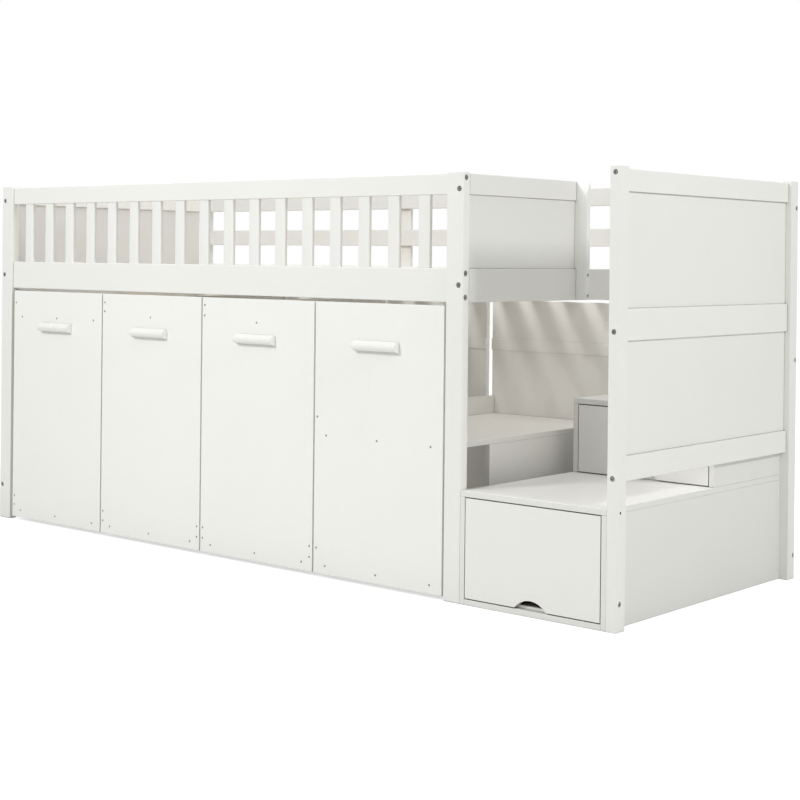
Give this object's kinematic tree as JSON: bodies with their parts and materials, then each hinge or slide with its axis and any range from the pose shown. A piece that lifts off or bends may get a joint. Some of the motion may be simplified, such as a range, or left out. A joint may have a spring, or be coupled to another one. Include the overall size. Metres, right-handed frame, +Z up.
{
  "type": "bunk bed with desk",
  "caption": "Mid-height child's bed in white painted board with a slatted guard, roll-out wardrobe, shelf and desk units beneath and stairs made of drawer boxes.",
  "frame": {"origin": "on the floor, below the middle of the part's box (the pulls included)", "axes": "+X along the bed from its closed left end to the stairs, +Y from the front with the pulls to the rear, +Z up"},
  "size_m": [2.585, 0.9835, 1.1705],
  "materials": {
    "white_paint": "satin off-white paint on board",
    "white_board": "satin off-white lacquered board",
    "slat_wood": "bare softwood slats on woven straps",
    "pull_paint": "smooth satin white",
    "wheel_plastic": "dark grey matte"
  },
  "bodies": {
    "frame": {"left_front_post": "white_paint", "middle_front_post": "white_paint", "front_side_rail": "white_paint", "front_guard": "white_paint", "left_rear_post": "white_paint", "middle_rear_post": "white_paint", "rear_top_rail": "white_paint", "rear_middle_rail": "white_paint", "rear_side_rail": "white_paint", "rear_centre_post": "white_paint", "left_top_rail": "white_paint", "left_upper_panel": "white_paint", "left_middle_rail": "white_paint", "left_lower_panel": "white_paint", "right_front_post": "white_paint", "right_rear_post": "white_paint", "right_top_rail": "white_paint", "right_upper_panel": "white_paint", "right_middle_rail": "white_paint", "right_lower_panel": "white_paint", "right_lower_rail": "white_paint", "middle_cross_rail": "white_paint", "middle_panel": "white_paint", "middle_top_rail": "white_paint", "entry_post": "white_paint", "slat_base": "slat_wood", "lower_step_left_side": "white_board", "lower_step_right_side": "white_board", "lower_step_base": "white_board", "lower_step_back": "white_board", "lower_step_tread": "white_board", "upper_step_left_side": "white_board", "upper_step_right_side": "white_board", "upper_step_back": "white_board", "upper_step_tread": "white_board"},
    "lower_drawer": {"lower_drawer_front": "white_board", "lower_drawer_box": "white_board"},
    "upper_drawer": {"upper_drawer_front": "white_board", "upper_drawer_box": "white_board"},
    "shelf_unit": {"shelf_unit_front": "white_paint", "shelf_unit_pull": "pull_paint", "shelf_unit_carcass": "white_board"},
    "shelf_unit_front_axle": {"shelf_unit_front_wheels": "wheel_plastic"},
    "shelf_unit_rear_axle": {"shelf_unit_rear_wheels": "wheel_plastic"},
    "wardrobe_unit_left": {"wardrobe_unit_left_front": "white_paint", "wardrobe_unit_left_pull": "pull_paint", "wardrobe_unit_left_carcass": "white_board"},
    "wardrobe_unit_left_front_axle": {"wardrobe_unit_left_front_wheels": "wheel_plastic"},
    "wardrobe_unit_left_rear_axle": {"wardrobe_unit_left_rear_wheels": "wheel_plastic"},
    "wardrobe_unit_right": {"wardrobe_unit_right_front": "white_paint", "wardrobe_unit_right_pull": "pull_paint", "wardrobe_unit_right_carcass": "white_board"},
    "wardrobe_unit_right_front_axle": {"wardrobe_unit_right_front_wheels": "wheel_plastic"},
    "wardrobe_unit_right_rear_axle": {"wardrobe_unit_right_rear_wheels": "wheel_plastic"},
    "desk_unit": {"desk_unit_front": "white_paint", "desk_unit_pull": "pull_paint", "desk_unit_carcass": "white_board", "desk_top": "white_board"},
    "desk_unit_front_axle": {"desk_unit_front_wheels": "wheel_plastic"},
    "desk_unit_rear_axle": {"desk_unit_rear_wheels": "wheel_plastic"}
  },
  "joints": [
    {"name": "lower_drawer_slide", "type": "slide", "parent": "frame", "child": "lower_drawer", "axis": [0, -1, 0], "range_m": [0, 0.38]},
    {"name": "upper_drawer_slide", "type": "slide", "parent": "frame", "child": "upper_drawer", "axis": [0, -1, 0], "range_m": [0, 0.24]},
    {"name": "shelf_unit_roll", "type": "slide", "parent": "frame", "child": "shelf_unit", "axis": [0, -1, 0], "range_m": [0, 0.65]},
    {"name": "wardrobe_unit_left_roll", "type": "slide", "parent": "frame", "child": "wardrobe_unit_left", "axis": [0, -1, 0], "range_m": [0, 0.65]},
    {"name": "wardrobe_unit_right_roll", "type": "slide", "parent": "frame", "child": "wardrobe_unit_right", "axis": [0, -1, 0], "range_m": [0, 0.65]},
    {"name": "desk_unit_roll", "type": "slide", "parent": "frame", "child": "desk_unit", "axis": [0, -1, 0], "range_m": [0, 0.65]},
    {"name": "shelf_unit_front_wheels_turn", "type": "hinge", "parent": "shelf_unit", "child": "shelf_unit_front_axle", "pos_m": [-0.97694, -0.4035, 0.013], "axis": [1, 0, 0], "continuous": true},
    {"name": "shelf_unit_rear_wheels_turn", "type": "hinge", "parent": "shelf_unit", "child": "shelf_unit_rear_axle", "pos_m": [-0.97694, 0.3225, 0.013], "axis": [1, 0, 0], "continuous": true},
    {"name": "wardrobe_unit_left_front_wheels_turn", "type": "hinge", "parent": "wardrobe_unit_left", "child": "wardrobe_unit_left_front_axle", "pos_m": [-0.48831, -0.4035, 0.013], "axis": [1, 0, 0], "continuous": true},
    {"name": "wardrobe_unit_left_rear_wheels_turn", "type": "hinge", "parent": "wardrobe_unit_left", "child": "wardrobe_unit_left_rear_axle", "pos_m": [-0.48831, 0.3225, 0.013], "axis": [1, 0, 0], "continuous": true},
    {"name": "wardrobe_unit_right_front_wheels_turn", "type": "hinge", "parent": "wardrobe_unit_right", "child": "wardrobe_unit_right_front_axle", "pos_m": [0.00031, -0.4035, 0.013], "axis": [1, 0, 0], "continuous": true},
    {"name": "wardrobe_unit_right_rear_wheels_turn", "type": "hinge", "parent": "wardrobe_unit_right", "child": "wardrobe_unit_right_rear_axle", "pos_m": [0.00031, 0.3225, 0.013], "axis": [1, 0, 0], "continuous": true},
    {"name": "desk_unit_front_wheels_turn", "type": "hinge", "parent": "desk_unit", "child": "desk_unit_front_axle", "pos_m": [0.48594, -0.4035, 0.013], "axis": [1, 0, 0], "continuous": true},
    {"name": "desk_unit_rear_wheels_turn", "type": "hinge", "parent": "desk_unit", "child": "desk_unit_rear_axle", "pos_m": [0.48594, 0.3225, 0.013], "axis": [1, 0, 0], "continuous": true}
  ],
  "couplings": [
    {"joint": "shelf_unit_front_wheels_turn", "follows": "shelf_unit_roll", "rad_per_m": 76.923},
    {"joint": "shelf_unit_rear_wheels_turn", "follows": "shelf_unit_roll", "rad_per_m": 76.923},
    {"joint": "wardrobe_unit_left_front_wheels_turn", "follows": "wardrobe_unit_left_roll", "rad_per_m": 76.923},
    {"joint": "wardrobe_unit_left_rear_wheels_turn", "follows": "wardrobe_unit_left_roll", "rad_per_m": 76.923},
    {"joint": "wardrobe_unit_right_front_wheels_turn", "follows": "wardrobe_unit_right_roll", "rad_per_m": 76.923},
    {"joint": "wardrobe_unit_right_rear_wheels_turn", "follows": "wardrobe_unit_right_roll", "rad_per_m": 76.923},
    {"joint": "desk_unit_front_wheels_turn", "follows": "desk_unit_roll", "rad_per_m": 76.923},
    {"joint": "desk_unit_rear_wheels_turn", "follows": "desk_unit_roll", "rad_per_m": 76.923}
  ]
}
